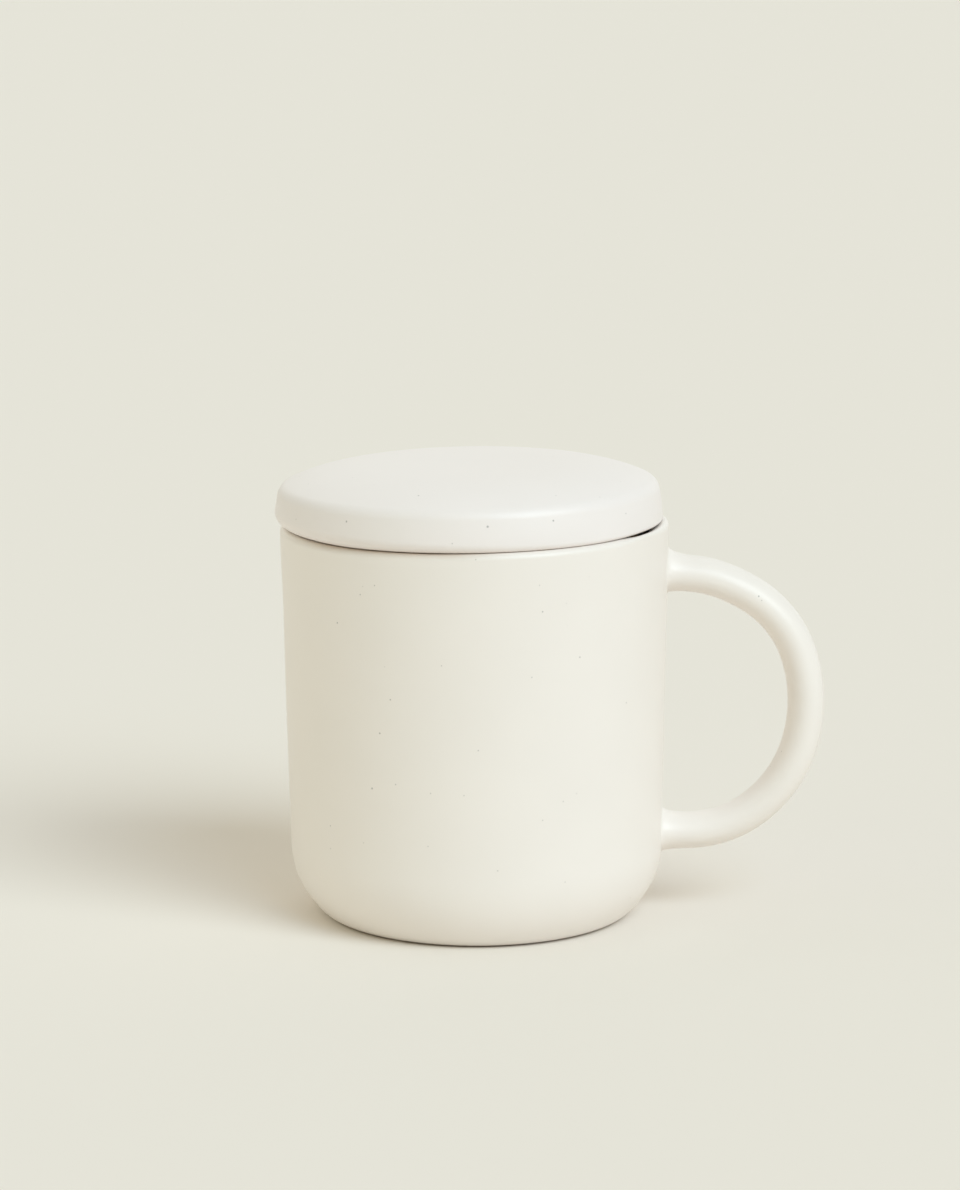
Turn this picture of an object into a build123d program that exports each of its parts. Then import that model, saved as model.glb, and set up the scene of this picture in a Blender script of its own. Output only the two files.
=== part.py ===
from build123d import *
import math
import os

# Millimetres and degrees. The cup stands on z = 0 with its axis on Z, and the handle points along +X.

# Cup: a slightly tapered wall on a wide round corner, which turns in to a flat foot ring
CUP_HEIGHT = 86.9           # rim's height over the cup's axis
RIM_RADIUS = 42.4
RIM_TIP = 0.95              # the rim's plane is a little out of level and rises towards the handle
WALL_TAPER = 1.7            # radius that the wall would lose from the rim down to the table
WALL = 4.0
LIP_OUTER_ROUND = 1.8
LIP_INNER_ROUND = 0.6
CORNER_HEIGHT = 15.7        # where the wall runs into the round of the corner
CORNER_ROUND = 21.6
FLOOR = 5.0
FLOOR_ROUND = 9.0
FOOT_EDGE_ROUND = 5.5       # tighter round that brings the corner down to the table
FOOT_WIDTH = 4.2
FOOT_ROUND = 0.6
FOOT_RECESS = 1.6
RECESS_ROUND = 0.8

# Handle: an oval rod bent into a D, with a flared collar of slip where each end joins the wall
HANDLE_DROP = 11.6          # upper run's centre line below the rim
HANDLE_RISE = 17.9          # lower run's centre line above the table
HANDLE_REACH = 30.6         # furthest centre line beyond the rim's radius
HANDLE_LEAD = 1.0           # straight run between a collar and the bow
HANDLE_THICK = 7.8
HANDLE_WIDTH = 10.4
COLLAR_LENGTH = 3.4
COLLAR_FLARE = 1.3
COLLAR_STATION_SHARES = (1, 0.5, 0, -0.5)   # distances from the wall, as shares of the collar's length

# Lid: a loose pebble as wide as the rim, with a locating ring below that drops into the mouth of the cup
LID_HEIGHT = 13.4
LID_EDGE_ROUND = 3.5
LID_CROWN = 5.0             # thickness at the centre
CROWN_FLAT_SHARE = 0.92     # how far the top runs level, and the side upright, before they bend
CROWN_SIDE_SHARE = 0.66
RING_DEPTH = 5.0
RING_WIDTH = 3.6
RING_ROUND = 1.2
RING_CLEARANCE = 1.6
SEAT_ROUND = 0.6
HOLLOW_ROUND = 4.0

# How the lid lies on the rim: pushed away from the handle, within the ring's clearance
LID_SHIFT = 1.3
SEAT_GAP = 0.1


def wall_radius(height):
    """Outer radius of the cup's straight wall at a height above the table."""
    return RIM_RADIUS - WALL_TAPER * (1 - height / CUP_HEIGHT)


def outer_corner():
    """Arc that leaves the wall smoothly, and the tighter arc that goes on from it down to the table."""
    lean = math.atan(WALL_TAPER / CUP_HEIGHT)
    centre_radius = wall_radius(CORNER_HEIGHT) - CORNER_ROUND * math.cos(lean)
    centre_height = CORNER_HEIGHT + CORNER_ROUND * math.sin(lean)
    meet = math.asin((centre_height - FOOT_EDGE_ROUND) / (CORNER_ROUND - FOOT_EDGE_ROUND))
    foot_radius = centre_radius + (CORNER_ROUND - FOOT_EDGE_ROUND) * math.cos(meet)
    corner = CenterArc(
        (centre_radius, centre_height),
        CORNER_ROUND,
        start_angle=-math.degrees(meet),
        arc_size=math.degrees(meet - lean),
    )
    edge = CenterArc(
        (foot_radius, FOOT_EDGE_ROUND),
        FOOT_EDGE_ROUND,
        start_angle=-90,
        arc_size=90 - math.degrees(meet),
    )
    return corner, edge


def turned(outline):
    """Solid turned about Z from a closed outline of (radius, height)."""
    return revolve(Plane.XZ * make_face(outline), Axis.Z)


def rim_place():
    """Where the rim's plane lies: at its height over the cup's axis, tipped up towards the handle."""
    return Pos(0, 0, CUP_HEIGHT) * Rot(0, -RIM_TIP, 0)


def rim_face(shell):
    """Flat face round the cup's mouth."""
    return shell.faces().filter_by(GeomType.PLANE).sort_by(Axis.Z)[-1]


def make_cup_body():
    """Shell turned from one outline, then cut to the rim's plane and rounded along the lip."""
    corner, edge = outer_corner()
    foot_inner = (edge @ 0).X - FOOT_WIDTH
    floor_top = FOOT_RECESS + FLOOR
    uncut_top = CUP_HEIGHT + LIP_OUTER_ROUND
    inside = FilletPolyline(
        (0, floor_top),
        (wall_radius(floor_top) - WALL, floor_top),
        (wall_radius(uncut_top) - WALL, uncut_top),
        radius=FLOOR_ROUND,
    )
    outside = Polyline(inside @ 1, (wall_radius(uncut_top), uncut_top), corner @ 1)
    below = FilletPolyline(
        edge @ 0,
        (foot_inner, 0),
        (foot_inner, FOOT_RECESS),
        (0, FOOT_RECESS),
        radius=[FOOT_ROUND, RECESS_ROUND],
    )
    axis = Line((0, FOOT_RECESS), (0, floor_top))
    shell = turned([inside, outside, corner, edge, below, axis])
    shell = split(shell, Plane(rim_place()), keep=Keep.BOTTOM)
    shell = fillet(rim_face(shell).outer_wire().edges(), LIP_OUTER_ROUND)
    return fillet(rim_face(shell).inner_wires()[0].edges(), LIP_INNER_ROUND)


def make_cup_envelope():
    """Cup's outer form as a filled solid, which trims the handle's ends to the wall."""
    corner, edge = outer_corner()
    rest = Polyline(corner @ 1, (RIM_RADIUS, CUP_HEIGHT), (0, CUP_HEIGHT), (0, 0), edge @ 0)
    return turned([corner, edge, rest])


def handle_section(growth=0):
    """Oval section of the rod, widened all round by a growth."""
    return Ellipse(HANDLE_WIDTH / 2 + growth, HANDLE_THICK / 2 + growth)


def make_collar(height):
    """Flared end of the rod at a height on the wall. Its growth is a parabola, zero where the rod begins."""
    sections = []
    for share in COLLAR_STATION_SHARES:
        station = (wall_radius(height) + share * COLLAR_LENGTH, 0, height)
        growth = COLLAR_FLARE * (1 - share) ** 2
        sections.append(Plane(station, x_dir=(0, 1, 0), z_dir=(1, 0, 0)) * handle_section(growth))
    return loft(sections)


def make_handle():
    """Rod swept round the D, with a collar at each end, cut to the cup's wall."""
    upper = CUP_HEIGHT - HANDLE_DROP
    lower = HANDLE_RISE
    bow_start = RIM_RADIUS + COLLAR_LENGTH + HANDLE_LEAD
    bow_reach = HANDLE_REACH - COLLAR_LENGTH - HANDLE_LEAD
    bow = EllipticalCenterArc(
        (bow_start, (upper + lower) / 2), bow_reach, (upper - lower) / 2, start_angle=90, arc_size=-180
    )
    upper_lead = Line((wall_radius(upper) + COLLAR_LENGTH, upper), bow @ 0)
    lower_lead = Line(bow @ 1, (wall_radius(lower) + COLLAR_LENGTH, lower))
    path = Plane.XZ * Wire([upper_lead, bow, lower_lead])
    rod = sweep(Plane(path @ 0, x_dir=(0, 1, 0), z_dir=path % 0) * handle_section(), path)
    return rod + make_collar(upper) + make_collar(lower) - make_cup_envelope()


def make_lid():
    """Pebble turned from one outline, with its seat on z = 0, then laid on the rim as it rests."""
    ring_radius = RIM_RADIUS - WALL - RING_CLEARANCE
    hollow_top = LID_HEIGHT - LID_CROWN
    crown = Bezier(
        (0, LID_HEIGHT),
        (CROWN_FLAT_SHARE * RIM_RADIUS, LID_HEIGHT),
        (RIM_RADIUS, LID_EDGE_ROUND + CROWN_SIDE_SHARE * (LID_HEIGHT - LID_EDGE_ROUND)),
        (RIM_RADIUS, LID_EDGE_ROUND),
    )
    edge = CenterArc((RIM_RADIUS - LID_EDGE_ROUND, LID_EDGE_ROUND), LID_EDGE_ROUND, 0, -90)
    underside = FilletPolyline(
        edge @ 1,
        (ring_radius, 0),
        (ring_radius, -RING_DEPTH),
        (ring_radius - RING_WIDTH, -RING_DEPTH),
        (ring_radius - RING_WIDTH, hollow_top),
        (0, hollow_top),
        radius=[SEAT_ROUND, RING_ROUND, RING_ROUND, HOLLOW_ROUND],
    )
    axis = Line((0, hollow_top), (0, LID_HEIGHT))
    pebble = turned([crown, edge, underside, axis])
    return rim_place() * Pos(-LID_SHIFT, 0, SEAT_GAP) * pebble


os.makedirs("parts", exist_ok=True)
export_step(make_cup_body(), "parts/cup_body.step")
export_step(make_handle(), "parts/handle.step")
export_step(make_lid(), "parts/lid.step")
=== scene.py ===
import math
from collections import namedtuple

import bpy
import numpy as np
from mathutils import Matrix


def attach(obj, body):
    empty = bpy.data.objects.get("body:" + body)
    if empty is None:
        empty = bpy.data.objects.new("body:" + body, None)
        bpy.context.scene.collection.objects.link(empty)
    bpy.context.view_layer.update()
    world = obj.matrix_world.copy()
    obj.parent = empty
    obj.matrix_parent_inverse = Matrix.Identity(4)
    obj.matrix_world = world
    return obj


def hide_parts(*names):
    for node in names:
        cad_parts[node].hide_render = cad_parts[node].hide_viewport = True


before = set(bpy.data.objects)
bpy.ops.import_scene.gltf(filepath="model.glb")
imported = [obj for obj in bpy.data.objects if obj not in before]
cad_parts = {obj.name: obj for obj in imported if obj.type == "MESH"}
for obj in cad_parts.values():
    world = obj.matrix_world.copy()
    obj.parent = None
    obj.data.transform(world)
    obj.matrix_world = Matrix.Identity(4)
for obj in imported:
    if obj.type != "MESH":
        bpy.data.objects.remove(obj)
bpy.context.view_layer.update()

# Sizes are in millimetres, and the meshes in metres.
MM = 0.001

# The cup's outline
CUP_HEIGHT = 86.9
RIM_RADIUS = 42.4
RIM_TIP = math.radians(0.95)                # the rim rises towards the handle
WALL_TAPER = 1.7                            # what the wall's radius would lose from the rim down to the table
WALL = 4.0
LIP_OUTER_ROUND = 1.4
LIP_INNER_ROUND = 0.6
CORNER_HEIGHT = 15.7                        # where the wall runs into the round of the corner
CORNER_ROUND = 21.6
FLOOR = 5.0
FLOOR_ROUND = 9.0
FOOT_EDGE_ROUND = 5.5                       # tighter round that brings the corner down to the table
FOOT_WIDTH = 4.2
FOOT_ROUND = 0.6
FOOT_RECESS = 1.6
RECESS_ROUND = 0.8

# How drying and firing have drawn the lower cup: towards the handle, and the foot into an oval
LEAN = 0.38
LEAN_HEIGHT = 60.0                          # each of the three has faded out at its height
FOOT_PINCH = 0.6                            # in at the handle's side and across from it
FOOT_PINCH_HEIGHT = 9.0
FOOT_PUSH = 1.0                             # out at the front
FOOT_PUSH_HEIGHT = 16.0

# How they have drawn the mouth, above a level ring. A stretch is given by the four places along x
# where it begins, is full, thins and ends.
LEVEL_HEIGHT = 66.0
GLAZE_RISE = 0.09                           # the glazed rim comes up to the lid
RIM_OPEN = (-42.0, -32.0, -10.0, 8.0)       # but for this stretch
RIM_TURNED = (30.0, 37.0, 37.0, 42.0)       # stretch beside the handle, where the rim is turned inward
RIM_SWELL = 0.7                             # there its outer edge rises
RIM_FALL = 1.5                              # and its inner edge drops
MOUTH_FLARE = 0.3                           # the side away from the handle leans out

# The handle's rod
HANDLE_DROP = 11.6                          # upper run's centre line below the rim
HANDLE_RISE = 17.9                          # lower run's centre line above the table
HANDLE_REACH = 30.48                        # furthest centre line beyond the rim's radius
HANDLE_LEAD = 4.4                           # straight run between the rim's radius and the bow
HANDLE_THICK = 8.0
HANDLE_WIDTH = 10.4
# How far the hand-bent rod strays outward from its half oval, at even steps from the upper end to the lower
HANDLE_SWAY = (0.5, 0.0, -0.26, 0.1, 0.3, 0.1, 0.0, 0.08, 0.2, 0.2, 0.2, 0.12, 0.2)

# The slip that blends the rod's ends into the wall: its length along the rod, how far it spreads over the wall,
# and how much further it spreads at the top, and less far at the bottom
Blend = namedtuple("Blend", "length spread upward")
UPPER_BLEND = Blend(5.5, 1.4, 0.5)
LOWER_BLEND = Blend(5.5, 1.5, 0.4)
BLEND_SINK = 0.06                           # how far its edge lies under the glaze of the wall

# The lid's outline, and how it lies on the rim
LID_HEIGHT = 13.4
CROWN_HEIGHT = 13.27                        # the fuller crown ends a hair lower than the solid's
LID_RADIUS = RIM_RADIUS - 0.02              # a hair inside the solid's
LID_EDGE_ROUND = 3.2                        # lower edge away from the handle
LID_EDGE_TIGHT = 0.6                        # lower edge beside the handle
LID_EDGE_LIFT = 0.25                        # rise of the lower edge towards both ends along x
LID_LIFT_SPAN = (24.0, 40.0)                # where along x it begins and is full
LID_LIFT_HEIGHT = 5.0                       # and the height where it has faded out
LID_CROWN = 5.0                             # thickness at the centre
SHOULDER_ROUND = 3.2
SHOULDER_INSET = 3.8                        # middle of the shoulder's arc, in from the widest ring
SHOULDER_HEIGHT = 6.4                       # and over the seat
SHOULDER_START = math.radians(10)           # the outline's turn from upright where the arc begins
SHOULDER_END = math.radians(66)             # and where the crown takes over
RING_DEPTH = 5.0
RING_WIDTH = 3.6
RING_ROUND = 1.2
RING_CLEARANCE = 1.6
SEAT_ROUND = 0.6
HOLLOW_ROUND = 4.0
LID_SHIFT = 1.3                             # away from the handle
SEAT_GAP = 0.1

# Mesh fineness
ROUND_STEPS = 14
RUN_STEP = 1.2                              # longest step on a straight run
TURN_STEPS = 256
TURNS = np.arange(TURN_STEPS) * 2 * math.pi / TURN_STEPS
ROD_STEPS = 88
BOW_STEPS = 160
BLEND_STEPS = 20
MEET_ROUNDS = 4                             # rounds of the search for the place where the rod meets the wall
POLE_RADIUS = 0.4                           # of the small end rings, which a fan of faces closes
LEAST_GAP = 1e-6                            # points closer than this are one point

# The camera that took the photograph, in millimetres and pixels
PHOTO_HEIGHT = 1190
FOCAL_PIXELS = 4330
CAMERA_DISTANCE = 950
CAMERA_ELEVATION = math.radians(10.45)
CAMERA_AIM = (1.09, 0, 70.63)
CAMERA_CLIP = (10, 100000)
SENSOR = 36.0

# The glaze. Its cream swings a little both ways in wide clouds, and its surface is softly uneven.
CUP_CREAM = (0.892, 0.830, 0.774)
LID_CREAM = (0.888, 0.824, 0.795)
CLOUD_SIZE = 22.0
CLOUD_RANGE = (0.25, 0.75)                  # values of the cloud where the cream is darkest and lightest
CLOUD_SWING = 0.008
GLAZE_ROUGHNESS = 0.37
CLOUD_ROUGHNESS = 0.08
SWELL_SIZE = 6.0
GRAIN_SIZE = 0.8
GRAIN_SHARE = 0.07                          # of the grain in the unevenness
UNEVEN_DEPTH = 0.1
UNEVEN_STRENGTH = 0.3

# Its iron specks: scattered ones, and those that show most, each in its place with its radius
IRON = (0.10, 0.09, 0.08)
Scatter = namedtuple("Scatter", "cell radius chosen strength")
FAINT_SPECKS = Scatter(2.4, 0.2, 0.16, 0.3)
DARK_SPECKS = Scatter(4.5, 0.22, 0.2, 0.5)
PLACED_STRENGTH = 0.45
WALL_SPECKS = (                             # turn from the front in degrees, and height
    (-32, 35.2, 0.30), (-29, 47.5, 0.25), (-44, 70.2, 0.25), (-54, 22.3, 0.25),
    (-35, 77.1, 0.20), (-24, 36.7, 0.19), (27, 32.8, 0.19), (32, 63.8, 0.22),
    (-30, 79.4, 0.19), (51, 52.0, 0.19), (1, 44.9, 0.18), (-14, 23.7, 0.17),
)
LID_SPECKS = (                              # turn from the front in degrees, and height over the seat
    (5.6, 5.8, 0.32), (-37.8, 5.95, 0.28), (25.3, 6.2, 0.27), (-17.5, 11.2, 0.25), (53, 5.4, 0.18),
)
ROD_SPECKS = ((0.245, 0.795, 0.25),)        # share along the rod from its upper end, and share round it

# Bare clay, and painted shade in its brown, show in bands: from low to high over a level that slopes along x,
# on a stretch along x, and as strongly as its share says
CLAY_AND_SHADE_BROWN = (0.40, 0.25, 0.13)
CLAY_AND_SHADE_GRAIN = 0.15                           # swing of its colour both ways
CLAY_ROUGHNESS = 0.4                        # what it adds to the glaze's
CLAY_WANDER = 0.12                          # how far the bands' edges wander
CLAY_WANDER_SIZE = 5.0
ALL_ALONG = (-95, -90, 90, 95)              # past the mug at both ends
Band = namedtuple("Band", "level slope low high fade along share")
# Bare clay on the foot ring, and painted shade along the foot line where the band reaches up the corner's lowest
# edge
FOOT_CLAY_AND_SHADE = Band(level=0, slope=0, low=-1, high=0.3, fade=0.25, along=ALL_ALONG, share=1.0)
# Painted shade: the clay's brown just under the lid's edge, at the left where the lamps do not reach
RIM_PAINTED_SHADE = Band(
    level=CUP_HEIGHT, slope=math.tan(RIM_TIP), low=-0.75, high=1.5, fade=0.8, along=(-41, -30, -8, 10), share=0.4
)
SEAT_CLAY = Band(
    level=CUP_HEIGHT + SEAT_GAP, slope=math.tan(RIM_TIP), low=-6, high=0.1, fade=0.06, along=ALL_ALONG, share=1.0
)

# The studio: a pale sheet, the light from all round, and soft lamps
SHEET_REACH = 12000.0
SHEET_COLOUR = (0.894, 0.835, 0.765)
BACKDROP_COLOUR = (0.77, 0.76, 0.67)        # what the camera sees above the sheet's far edge
ROOM_COLOUR = (0.464, 0.45, 0.387)
MIRRORED_COLOUR = (0.7, 0.69, 0.61)         # what the glaze mirrors
MIRRORED_LEFT = (0.2, 0.2, 0.17)            # and at the left
MIRRORED_SPAN = (-0.75, -0.3)               # directions along x between which one goes over into the other
Lamp = namedtuple("Lamp", "name elevation turn spread energy colour")   # turned to the right from the front
LAMPS = (
    Lamp("right_key", 36, 48, 32, 0.789, (0.943, 1.0, 0.899)),
    Lamp("front_key", 40, 38, 42, 1.214, (0.572, 0.764, 1.0)),
    Lamp("rear_fill", 12, -150, 130, 0.913, (0.954, 0.988, 1.0)),
    Lamp("left_fill", 15, -60, 60, 0.286, (0.895, 1.0, 0.615)),
)


def line(start, end):
    """Points from start to just before end, evenly spaced and about RUN_STEP apart."""
    start, end = np.array(start, float), np.array(end, float)
    count = max(2, int(math.ceil(np.linalg.norm(end - start) / RUN_STEP)))
    share = np.arange(count)[:, None] / count
    return start + share * (end - start)


def oval_arc(centre, reach, rise, start, end, steps):
    """Points on an oval about centre: reach times the cosine across, rise times the sine up."""
    turn = np.linspace(start, end, steps)
    return np.stack([centre[0] + reach * np.cos(turn), centre[1] + rise * np.sin(turn)], axis=-1)


def rounded(points, radii):
    """Polyline with each inner corner replaced by the arc of its radius that touches both runs.

    The arc's centre lies on the corner's bisector, at the radius over the sine of half the corner's angle.
    """
    points = [np.array(p, float) for p in points]
    runs = []
    start = points[0]
    for before, corner, after, radius in zip(points, points[1:], points[2:], radii):
        back = (before - corner) / np.linalg.norm(before - corner)
        on = (after - corner) / np.linalg.norm(after - corner)
        half = math.acos(np.clip(back @ on, -1, 1)) / 2
        touch = radius / math.tan(half)
        centre = corner + (back + on) / np.linalg.norm(back + on) * radius / math.sin(half)
        arms = [corner + back * touch - centre, corner + on * touch - centre]
        angles = [math.atan2(arm[1], arm[0]) for arm in arms]
        sweep = (angles[1] - angles[0] + math.pi) % (2 * math.pi) - math.pi
        runs.append(line(start, corner + back * touch))
        runs.append(oval_arc(centre, radius, radius, angles[0], angles[0] + sweep, ROUND_STEPS))
        start = corner + on * touch
    runs.append(line(start, points[-1]))
    runs.append(points[-1][None])
    return distinct(np.concatenate(runs))


def distinct(points):
    """The points without those that repeat the one before."""
    gap = np.linalg.norm(np.diff(points, axis=0), axis=1)
    return points[np.concatenate([[True], gap > LEAST_GAP])]


def smooth(share):
    """Rise from 0 to 1 as the share does, level at both ends: three times its square less twice its cube."""
    share = np.clip(share, 0, 1)
    return share ** 2 * (3 - 2 * share)


def stretch(x, begin, full, thin, end):
    """Share that comes in along x from begin to full, and goes out from thin to end."""
    return smooth((x - begin) / (full - begin)) * smooth((end - x) / (end - thin))


def unit(vectors):
    """The vectors brought to length 1."""
    return vectors / np.linalg.norm(vectors, axis=-1, keepdims=True)


def turned(profile):
    """Rings of a profile of (radius, height), alike all round or given at each turn, carried round the Z axis."""
    radius, height = profile[..., 0], profile[..., 1]
    return np.stack([radius * np.cos(TURNS), radius * np.sin(TURNS), height + 0 * TURNS], axis=-1)


def skin(name, rings, body, node, material):
    """Closed mesh over rings of points: quads between rings, and a fan to the middle of each end ring."""
    count, around = rings.shape[:2]
    middles = rings[[0, -1]].mean(axis=1)
    points = np.concatenate([rings.reshape(-1, 3), middles]) * MM
    here = np.arange(around)
    beside = (here + 1) % around
    row = np.arange(count - 1)[:, None] * around
    quads = np.stack([row + here, row + beside, row + around + beside, row + around + here], axis=-1)
    first = np.stack([beside, here, np.full(around, count * around)], axis=-1)
    last = (count - 1) * around
    end = np.stack([last + here, last + beside, np.full(around, count * around + 1)], axis=-1)
    faces = quads.reshape(-1, 4).tolist() + first.tolist() + end.tolist()
    mesh = bpy.data.meshes.new(name)
    mesh.from_pydata(points.tolist(), [], faces)
    mesh.polygons.foreach_set("use_smooth", np.ones(len(faces), bool))
    mesh.materials.append(material)
    piece = bpy.data.objects.new(name, mesh)
    bpy.context.scene.collection.objects.link(piece)
    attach(piece, body)
    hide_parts(node)


def corner_arc():
    """Centre of the corner's arc, its angle below level at the wall, and that where the foot's edge takes over.

    The edge's arc touches the table and the corner's arc, so the two centres are one radius less the other apart.
    """
    lean = math.atan(WALL_TAPER / CUP_HEIGHT)
    radius = RIM_RADIUS - WALL_TAPER * (1 - CORNER_HEIGHT / CUP_HEIGHT) - CORNER_ROUND * math.cos(lean)
    height = CORNER_HEIGHT + CORNER_ROUND * math.sin(lean)
    return (radius, height), lean, math.asin((height - FOOT_EDGE_ROUND) / (CORNER_ROUND - FOOT_EDGE_ROUND))


def wall_radius(height):
    """Outer radius at a height: the tapered wall, and below it the arc of the corner."""
    height = np.asarray(height, float)
    wall = RIM_RADIUS - WALL_TAPER * (1 - height / CUP_HEIGHT)
    (centre_radius, centre_height), _, _ = corner_arc()
    drop = np.clip(centre_height - height, 0, CORNER_ROUND)
    return np.where(height < CORNER_HEIGHT, centre_radius + np.sqrt(CORNER_ROUND ** 2 - drop ** 2), wall)


def cup_outline():
    """Radius and height from the middle of the floor up the inside, over the lip, and down and under the foot."""
    centre, lean, meet = corner_arc()
    foot_radius = centre[0] + (CORNER_ROUND - FOOT_EDGE_ROUND) * math.cos(meet)
    corner = oval_arc(centre, CORNER_ROUND, CORNER_ROUND, -lean, -meet, 3 * ROUND_STEPS)
    edge_centre = (foot_radius, FOOT_EDGE_ROUND)
    edge = oval_arc(edge_centre, FOOT_EDGE_ROUND, FOOT_EDGE_ROUND, -meet, -math.pi / 2, 2 * ROUND_STEPS)
    floor_top = FOOT_RECESS + FLOOR
    above = rounded(
        [
            (POLE_RADIUS, floor_top),
            (RIM_RADIUS - WALL_TAPER * (1 - floor_top / CUP_HEIGHT) - WALL, floor_top),
            (RIM_RADIUS - WALL, CUP_HEIGHT),
            (RIM_RADIUS, CUP_HEIGHT),
            corner[0],
        ],
        [FLOOR_ROUND, LIP_INNER_ROUND, LIP_OUTER_ROUND],
    )
    below = rounded(
        [
            edge[-1],
            (foot_radius - FOOT_WIDTH, 0),
            (foot_radius - FOOT_WIDTH, FOOT_RECESS),
            (POLE_RADIUS, FOOT_RECESS),
        ],
        [FOOT_ROUND, RECESS_ROUND],
    )
    return distinct(np.concatenate([above, corner, edge, below]))


def cup_rings():
    """The cup's outline carried round, then drawn out of true.

    Above the level ring the points rise by the rim's slope along x and by the changes of its lip, and lean out by
    the square of their share of the radius on the far side. Lower down they move towards the handle, and those of
    the foot also in along x and out at the front, each by less with height.
    """
    rings = turned(cup_outline()[:, None])[::-1]
    x, y, height = np.moveaxis(rings, -1, 0).copy()
    inner = np.clip((RIM_RADIUS - np.hypot(x, y)) / WALL, 0, 1)
    lip = GLAZE_RISE * (1 - stretch(x, *RIM_OPEN))
    lip += stretch(x, *RIM_TURNED) * (RIM_SWELL * (1 - inner) ** 2 - RIM_FALL * inner)
    mouth = smooth((height - LEVEL_HEIGHT) / (CUP_HEIGHT - LEVEL_HEIGHT))
    rings[..., 2] += mouth * (math.tan(RIM_TIP) * x + lip)
    rings[..., 0] -= mouth * MOUTH_FLARE * np.clip(-x / RIM_RADIUS, 0, 1) ** 2
    rings[..., 0] += LEAN * smooth(1 - height / LEAN_HEIGHT)
    rings[..., 0] -= FOOT_PINCH * x / RIM_RADIUS * smooth(1 - height / FOOT_PINCH_HEIGHT)
    front = np.clip(-y / RIM_RADIUS, 0, 1) ** 2
    rings[..., 1] -= FOOT_PUSH * front * smooth(1 - height / FOOT_PUSH_HEIGHT)
    return rings


def handle_path():
    """Centre line from wall to wall: a lead, half an oval and a lead, each point then moved out by the sway.

    The sway runs through its stations as a chain of cubics with the slopes of their neighbours.
    """
    upper, lower = CUP_HEIGHT - HANDLE_DROP, HANDLE_RISE
    start = RIM_RADIUS + HANDLE_LEAD
    reach, rise = HANDLE_REACH - HANDLE_LEAD, (upper - lower) / 2
    bow = oval_arc((start, (upper + lower) / 2), reach, rise, math.pi / 2, -math.pi / 2, BOW_STEPS)
    upper_lead = line((wall_radius(upper), upper), (start, upper))
    lower_lead = line((wall_radius(lower), lower), (start, lower))[::-1]
    path = np.concatenate([upper_lead, bow, lower_lead])
    travel = np.concatenate([[0], np.cumsum(np.linalg.norm(np.diff(path, axis=0), axis=1))])
    stations = np.array(HANDLE_SWAY)
    slopes = np.gradient(stations)
    place = travel / travel[-1] * (len(stations) - 1)
    at = np.clip(place.astype(int), 0, len(stations) - 2)
    u = place - at
    sway = (
        (1 + 2 * u) * (1 - u) ** 2 * stations[at] + u * (1 - u) ** 2 * slopes[at]
        + u ** 2 * (3 - 2 * u) * stations[at + 1] + u ** 2 * (u - 1) * slopes[at + 1]
    )
    along = unit(np.gradient(path, axis=0))
    path = path + sway[:, None] * np.stack([-along[:, 1], along[:, 0]], axis=-1)
    return path, travel


def handle_blend(ring, slope, blend):
    """Rings from the wall to the rod's first ring, each line along the rod a parabola that touches both.

    Its three points are a spot on the wall beyond the rod's own line, the spot where that line meets the
    wall, and the line's point on the first ring.
    """
    middle = ring.mean(axis=0)
    x, y, z = ring[:, 0], ring[:, 1], ring[:, 2]
    meet_z = z
    for _ in range(MEET_ROUNDS):
        meet_x = np.sqrt(wall_radius(meet_z) ** 2 - y ** 2)
        meet_z = z + slope * (meet_x - x)
    meet = np.stack([meet_x, y, meet_z], axis=-1)
    away = unit(np.stack([y / HANDLE_WIDTH, (z - middle[2]) / HANDLE_THICK], axis=-1))
    spread = blend.spread + blend.upward * away[:, 1]
    edge_y, edge_z = y + spread * away[:, 0], meet_z + spread * away[:, 1]
    edge_x = np.sqrt((wall_radius(edge_z) - BLEND_SINK) ** 2 - edge_y ** 2)
    edge = np.stack([edge_x, edge_y, edge_z], axis=-1)
    share = np.linspace(0, 1, BLEND_STEPS, endpoint=False)[:, None, None]
    return (1 - share) ** 2 * edge + 2 * share * (1 - share) * meet + share ** 2 * ring


def handle_rings():
    """Oval section carried along the path, between the blends at the upper and the lower end."""
    path, travel = handle_path()
    along = unit(np.gradient(path, axis=0))
    kept = (travel >= UPPER_BLEND.length) & (travel <= travel[-1] - LOWER_BLEND.length)
    path, along = path[kept], along[kept]
    turn = np.arange(ROD_STEPS) * 2 * math.pi / ROD_STEPS
    out, across = HANDLE_THICK / 2 * np.cos(turn), HANDLE_WIDTH / 2 * np.sin(turn)
    rod = np.stack(
        [path[:, :1] - along[:, 1:] * out, 0 * path[:, :1] + across, path[:, 1:] + along[:, :1] * out], axis=-1
    )
    upper_slope, lower_slope = along[[0, -1], 1] / along[[0, -1], 0]
    upper_end = handle_blend(rod[0], upper_slope, UPPER_BLEND)
    lower_end = handle_blend(rod[-1], lower_slope, LOWER_BLEND)[::-1]
    return np.concatenate([upper_end, rod, lower_end])


def lid_edge(turn):
    """Round of the lid's lower edge at a turn from the handle: by the cosine from one side to the other."""
    return (LID_EDGE_TIGHT + LID_EDGE_ROUND) / 2 + (LID_EDGE_TIGHT - LID_EDGE_ROUND) / 2 * np.cos(turn)


def shoulder_point(turn):
    """Radius and height on the shoulder's arc at a turn above level."""
    centre = LID_RADIUS - SHOULDER_INSET
    return centre + SHOULDER_ROUND * np.cos(turn), SHOULDER_HEIGHT + SHOULDER_ROUND * np.sin(turn)


def crown_power():
    """Power of the radius by which the crown falls, so that it runs smoothly into the shoulder.

    It is the radius where they meet, over the crown's fall times the tangent of the shoulder's turn there.
    """
    radius, height = shoulder_point(SHOULDER_END)
    return radius / (math.tan(SHOULDER_END) * (CROWN_HEIGHT - height))


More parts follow.
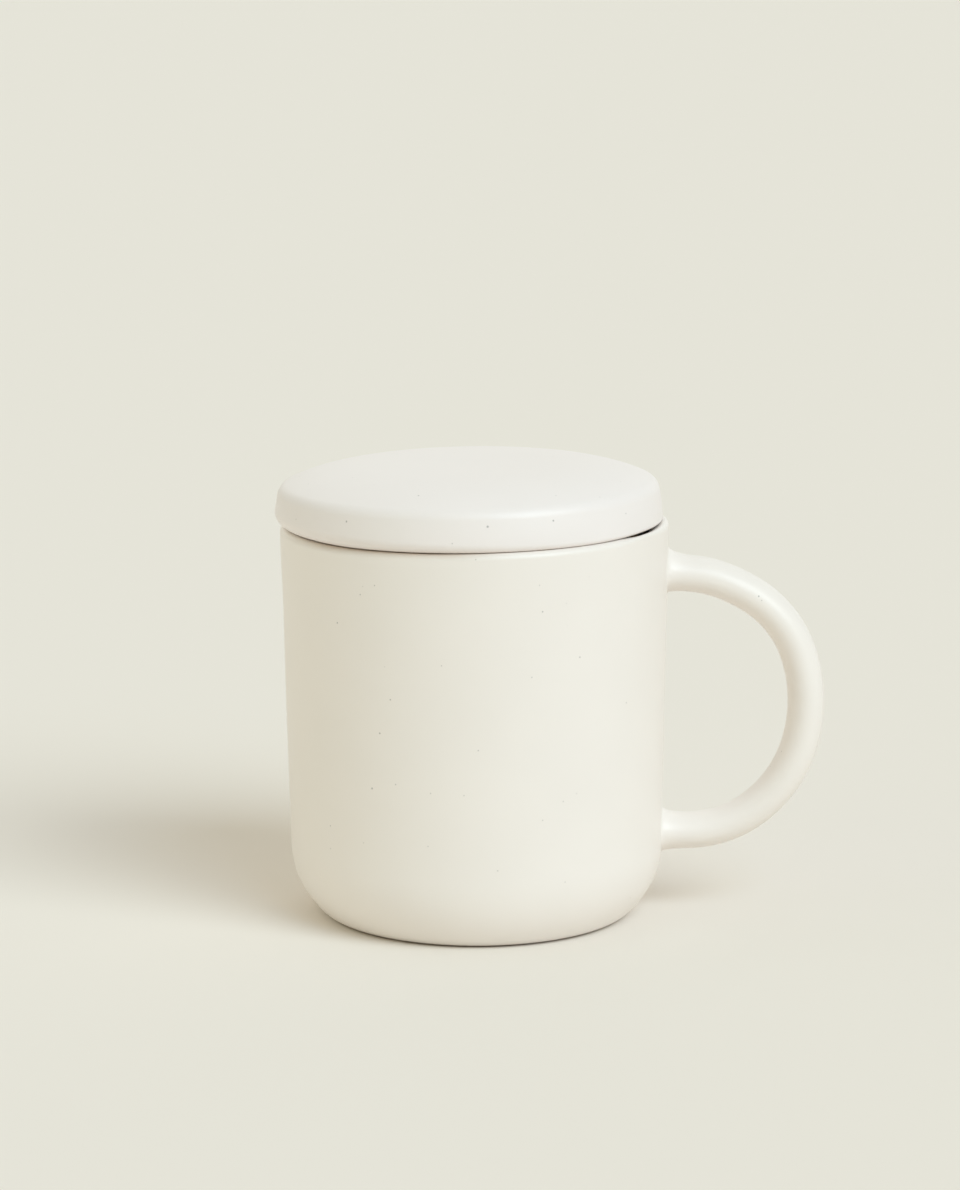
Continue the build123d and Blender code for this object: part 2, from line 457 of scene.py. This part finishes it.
def lid_outline(edge):
    """Radius and height from the middle of the crown to the seat, for lower edges of given rounds.

    The crown falls by a power of the radius, the shoulder is an arc, the side a parabola that leaves the shoulder
    along its line and comes down upright, and the lower edge a quarter round.
    """
    radius, height = shoulder_point(SHOULDER_END)
    share = np.linspace(POLE_RADIUS / radius, 1, 4 * ROUND_STEPS, endpoint=False)
    crown = radius * share, CROWN_HEIGHT - (CROWN_HEIGHT - height) * share ** crown_power()
    shoulder = shoulder_point(np.linspace(SHOULDER_END, SHOULDER_START, 2 * ROUND_STEPS, endpoint=False))
    top_radius, top_height = shoulder_point(SHOULDER_START)
    bend = top_height - (LID_RADIUS - top_radius) / math.tan(SHOULDER_START)
    share = np.linspace(0, 1, ROUND_STEPS, endpoint=False)[:, None]
    weights = (1 - share) ** 2, 2 * share * (1 - share), share ** 2
    side = (
        weights[0] * top_radius + (weights[1] + weights[2]) * LID_RADIUS + 0 * edge,
        weights[0] * top_height + weights[1] * bend + weights[2] * edge,
    )
    down = np.linspace(0, math.pi / 2, 2 * ROUND_STEPS)[:, None]
    lower = LID_RADIUS - edge + edge * np.cos(down), edge - edge * np.sin(down)
    alike = [np.stack(part, axis=-1)[:, None].repeat(len(edge), axis=1) for part in (crown, shoulder)]
    return np.concatenate([*alike, np.stack(side, axis=-1), np.stack(lower, axis=-1)])


def lifted_ends(outline):
    """The outline at each turn, with its lower edge raised towards both ends along x, and by less with height."""
    begin, full = LID_LIFT_SPAN
    ends = smooth((np.abs(outline[..., 0] * np.cos(TURNS)) - begin) / (full - begin))
    rise = LID_EDGE_LIFT * ends * smooth(1 - outline[..., 1] / LID_LIFT_HEIGHT)
    return np.stack([outline[..., 0], outline[..., 1] + rise], axis=-1)


def laid_on_rim(points):
    """Points of the lid, whose seat is z = 0, shifted from the handle and turned about y onto the sloping rim."""
    x, y, z = points[..., 0] - LID_SHIFT, points[..., 1], points[..., 2] + SEAT_GAP
    return np.stack(
        [
            x * math.cos(RIM_TIP) - z * math.sin(RIM_TIP),
            y,
            x * math.sin(RIM_TIP) + z * math.cos(RIM_TIP) + CUP_HEIGHT,
        ],
        axis=-1,
    )


def lid_rings():
    """Outline from the crown's middle over the edge to the hollow, carried round and laid on the rim.

    The outer part has its own lower edge at each turn. The underside, with its ring, is the same all round.
    """
    outer = lifted_ends(lid_outline(lid_edge(TURNS)))
    ring_radius = RIM_RADIUS - WALL - RING_CLEARANCE
    hollow_top = LID_HEIGHT - LID_CROWN
    under = rounded(
        [
            (LID_RADIUS - LID_EDGE_ROUND, 0),
            (ring_radius, 0),
            (ring_radius, -RING_DEPTH),
            (ring_radius - RING_WIDTH, -RING_DEPTH),
            (ring_radius - RING_WIDTH, hollow_top),
            (POLE_RADIUS, hollow_top),
        ],
        [SEAT_ROUND, RING_ROUND, RING_ROUND, HOLLOW_ROUND],
    )
    under = np.repeat(under[1:, None], TURN_STEPS, axis=1)
    return laid_on_rim(turned(np.concatenate([outer, under]))[::-1])


def wall_specks():
    """Middles on the wall, and radii, of the cup's specks."""
    turn, height, radius = np.array(WALL_SPECKS).T
    turn = np.radians(turn)
    out = wall_radius(height)
    return np.stack([out * np.sin(turn), -out * np.cos(turn), height, radius], axis=-1)


def lid_specks():
    """Middles on the lid, and radii, of its specks."""
    turn, height, radius = np.array(LID_SPECKS).T
    turn = np.radians(turn)
    outline = lid_outline(np.array([LID_EDGE_ROUND]))[::-1, 0]
    out = np.interp(height, outline[:, 1], outline[:, 0])
    points = np.stack([out * np.sin(turn), -out * np.cos(turn), height], axis=-1)
    return np.concatenate([laid_on_rim(points), radius[:, None]], axis=-1)


def rod_specks(rings):
    """Middles on the rod's rings, and radii, of the handle's specks."""
    along, around, radius = np.array(ROD_SPECKS).T
    row = np.round(along * (len(rings) - 1)).astype(int)
    column = np.round(around * ROD_STEPS).astype(int)
    return np.concatenate([rings[row, column], radius[:, None]], axis=-1)


class Value:
    """One output of a shader node. Operators on it add Math nodes."""

    def __init__(self, nodes, node, output):
        self.nodes = nodes
        self.node = node
        self.socket = node.outputs[output]

    def out(self, output):
        """Another output of the same node."""
        return Value(self.nodes, self.node, output)

    def worked(self, operation, *given):
        """Result of a Math node."""
        return self.nodes.add("ShaderNodeMath", {"operation": operation}, dict(enumerate(given)))

    def __add__(self, other):
        return self.worked("ADD", self, other)

    __radd__ = __add__

    def __sub__(self, other):
        return self.worked("SUBTRACT", self, other)

    def __rsub__(self, other):
        return self.worked("SUBTRACT", other, self)

    def __mul__(self, other):
        return self.worked("MULTIPLY", self, other)

    __rmul__ = __mul__

    def __lt__(self, other):
        return self.worked("LESS_THAN", self, other)

    def top(self, other):
        """The larger of two values."""
        return self.worked("MAXIMUM", self, other)

    def step(self, start, end):
        """Soft step from 0 at start to 1 at end."""
        ends = {0: self, 1: start, 2: end}
        return self.nodes.add("ShaderNodeMapRange", {"interpolation_type": "SMOOTHSTEP"}, ends)


class Nodes:
    """The node tree of a material or of the world."""

    def __init__(self, owner):
        owner.use_nodes = True
        self.tree = owner.node_tree
        self.tree.nodes.clear()

    def add(self, kind, settings=None, sockets=None, output=0):
        """A new node: its settings first, then the values or links of its sockets. Returns one output."""
        node = self.tree.nodes.new(kind)
        for key, setting in (settings or {}).items():
            setattr(node, key, setting)
        for key, given in (sockets or {}).items():
            if isinstance(given, Value):
                self.tree.links.new(given.socket, node.inputs[key])
            else:
                node.inputs[key].default_value = given
        return Value(self, node, output) if node.outputs else None


def opaque(colour, strength=1.0):
    """The colour times a strength, with full cover."""
    return (*(part * strength for part in colour), 1)


def blend_colour(nodes, factor, under, over):
    """Colour that goes from under to over with the factor, by the Mix node's sockets for colours."""
    return nodes.add("ShaderNodeMix", {"data_type": "RGBA"}, {0: factor, 6: under, 7: over}, 2)


def noise(nodes, place, size):
    """Cloudy value about a half, with lumps of a size."""
    return nodes.add("ShaderNodeTexNoise", {}, {"Vector": place, "Scale": 1 / (size * MM)})


def scattered_specks(nodes, place, scatter):
    """Mask of small balls about random points, one to a cell, in the chosen share of the cells."""
    scale = 1 / (scatter.cell * MM)
    cells = nodes.add("ShaderNodeTexVoronoi", {}, {"Vector": place, "Scale": scale}, "Distance")
    lot = nodes.add("ShaderNodeSeparateColor", {}, {"Color": cells.out("Color")}, "Red")
    ball = (cells * scatter.cell).step(scatter.radius, scatter.radius / 2)
    return (lot < scatter.chosen) * ball * scatter.strength


def placed_specks(nodes, place, specks):
    """Mask of small balls at given middles, each with its radius."""
    mask = 0.0
    for *middle, radius in specks.tolist():
        ends = {0: place, 1: [part * MM for part in middle]}
        away = nodes.add("ShaderNodeVectorMath", {"operation": "DISTANCE"}, ends, "Value")
        mask = (away * (1 / MM)).step(radius, radius / 2).top(mask)
    return mask * PLACED_STRENGTH


def clay_band(x, height, band):
    """Mask of a band of heights over a sloped level, on a stretch along x."""
    over = height - x * band.slope - band.level
    within = (over - band.low).step(-band.fade, band.fade) * (band.high - over).step(-band.fade, band.fade)
    begin, full, thin, end = band.along
    return within * x.step(begin, full) * x.step(end, thin) * band.share


def speckled_glaze(name, cream, specks, bands=()):
    """Satin glaze: cloudy cream, iron specks, and a clay brown within bands of heights, for bare clay and for
    painted shade.
    """
    material = bpy.data.materials.new(name)
    nodes = Nodes(material)
    place = nodes.add("ShaderNodeTexCoord", {}, {}, "Object")
    x = nodes.add("ShaderNodeSeparateXYZ", {}, {"Vector": place}, "X")
    along, height = x * (1 / MM), x.out("Z") * (1 / MM)
    cloud = noise(nodes, place, CLOUD_SIZE)
    grain = noise(nodes, place, GRAIN_SIZE)
    shade, tint = opaque(cream, 1 - CLOUD_SWING), opaque(cream, 1 + CLOUD_SWING)
    colour = blend_colour(nodes, cloud.step(*CLOUD_RANGE), shade, tint)
    marks = placed_specks(nodes, place, specks)
    for scatter in (FAINT_SPECKS, DARK_SPECKS):
        marks = scattered_specks(nodes, place, scatter).top(marks)
    colour = blend_colour(nodes, marks, colour, opaque(IRON))
    wander = (noise(nodes, place, CLAY_WANDER_SIZE) - 0.5) * CLAY_WANDER
    # Mask of the bands: bare clay, and painted shade where a band stands for it
    clay_and_shade = 0.0
    for band in bands:
        clay_and_shade = clay_band(along, height + wander, band).top(clay_and_shade)
    dark_clay_and_shade, light_clay_and_shade = opaque(CLAY_AND_SHADE_BROWN, 1 - CLAY_AND_SHADE_GRAIN), opaque(CLAY_AND_SHADE_BROWN, 1 + CLAY_AND_SHADE_GRAIN)
    colour = blend_colour(nodes, clay_and_shade, colour, blend_colour(nodes, grain, dark_clay_and_shade, light_clay_and_shade))
    roughness = GLAZE_ROUGHNESS + CLOUD_ROUGHNESS * cloud + clay_and_shade * CLAY_ROUGHNESS
    uneven = {
        "Strength": UNEVEN_STRENGTH,
        "Distance": UNEVEN_DEPTH * MM,
        "Height": noise(nodes, place, SWELL_SIZE) + grain * GRAIN_SHARE,
    }
    bump = nodes.add("ShaderNodeBump", {}, uneven, "Normal")
    looks = {"Base Color": colour, "Roughness": roughness, "Normal": bump}
    surface = nodes.add("ShaderNodeBsdfPrincipled", {}, looks)
    nodes.add("ShaderNodeOutputMaterial", {}, {"Surface": surface})
    return material


def make_sheet():
    """Wide level sheet under the mug, large enough to fill the view."""
    reach = SHEET_REACH * MM
    corners = [(-reach, -reach, 0), (reach, -reach, 0), (reach, reach, 0), (-reach, reach, 0)]
    mesh = bpy.data.meshes.new("floor")
    mesh.from_pydata(corners, [], [(0, 1, 2, 3)])
    material = bpy.data.materials.new("pale_floor")
    nodes = Nodes(material)
    surface = nodes.add("ShaderNodeBsdfDiffuse", {}, {"Color": opaque(SHEET_COLOUR)})
    nodes.add("ShaderNodeOutputMaterial", {}, {"Surface": surface})
    mesh.materials.append(material)
    floor = bpy.data.objects.new("floor", mesh)
    bpy.context.scene.collection.objects.link(floor)


def make_camera():
    """Camera on the photograph's line of sight, with the photograph's field of view."""
    data = bpy.data.cameras.new("camera")
    data.sensor_fit = "VERTICAL"
    data.sensor_height = SENSOR
    data.lens = SENSOR * FOCAL_PIXELS / PHOTO_HEIGHT
    data.clip_start, data.clip_end = (distance * MM for distance in CAMERA_CLIP)
    camera = bpy.data.objects.new("camera", data)
    aim_x, aim_y, aim_z = CAMERA_AIM
    back = CAMERA_DISTANCE * math.cos(CAMERA_ELEVATION)
    up = CAMERA_DISTANCE * math.sin(CAMERA_ELEVATION)
    camera.location = (aim_x * MM, (aim_y - back) * MM, (aim_z + up) * MM)
    camera.rotation_euler = (math.pi / 2 - CAMERA_ELEVATION, 0, 0)
    bpy.context.scene.collection.objects.link(camera)
    bpy.context.scene.camera = camera


def make_room():
    """Even warm light from all round. What the glaze mirrors is brighter, but for a dim part at the left."""
    world = bpy.data.worlds.new("studio")
    bpy.context.scene.world = world
    nodes = Nodes(world)
    ray = nodes.add("ShaderNodeLightPath")
    way = nodes.add("ShaderNodeTexCoord", {}, {}, "Generated")
    across = nodes.add("ShaderNodeSeparateXYZ", {}, {"Vector": way}, "X")
    mirrored = blend_colour(nodes, across.step(*MIRRORED_SPAN), opaque(MIRRORED_LEFT), opaque(MIRRORED_COLOUR))
    colour = blend_colour(nodes, ray.out("Is Glossy Ray"), opaque(ROOM_COLOUR), mirrored)
    colour = blend_colour(nodes, ray.out("Is Camera Ray"), colour, opaque(BACKDROP_COLOUR))
    sky = nodes.add("ShaderNodeBackground", {}, {"Color": colour})
    nodes.add("ShaderNodeOutputWorld", {}, {"Surface": sky})


def make_lamps():
    """Two broad keys from the front and right, and low fills from behind and from the left."""
    for lamp in LAMPS:
        data = bpy.data.lights.new(lamp.name, "SUN")
        data.energy = lamp.energy
        data.angle = math.radians(lamp.spread)
        data.color = lamp.colour
        light = bpy.data.objects.new(lamp.name, data)
        light.rotation_euler = (math.radians(90 - lamp.elevation), 0, math.radians(lamp.turn))
        bpy.context.scene.collection.objects.link(light)


rod = handle_rings()
cup_glaze = speckled_glaze("cup_speckled_glaze", CUP_CREAM, wall_specks(), [FOOT_CLAY_AND_SHADE, RIM_PAINTED_SHADE])
rod_glaze = speckled_glaze("rod_speckled_glaze", CUP_CREAM, rod_specks(rod))
lid_glaze = speckled_glaze("lid_speckled_glaze", LID_CREAM, lid_specks(), [SEAT_CLAY])
skin("cup", cup_rings(), "cup", "cup_body", cup_glaze)
skin("rod_handle", rod, "cup", "handle", rod_glaze)
skin("pebble_lid", lid_rings(), "lid", "lid", lid_glaze)
make_sheet()
make_camera()
make_room()
make_lamps()
bpy.context.scene.view_settings.view_transform = "Standard"
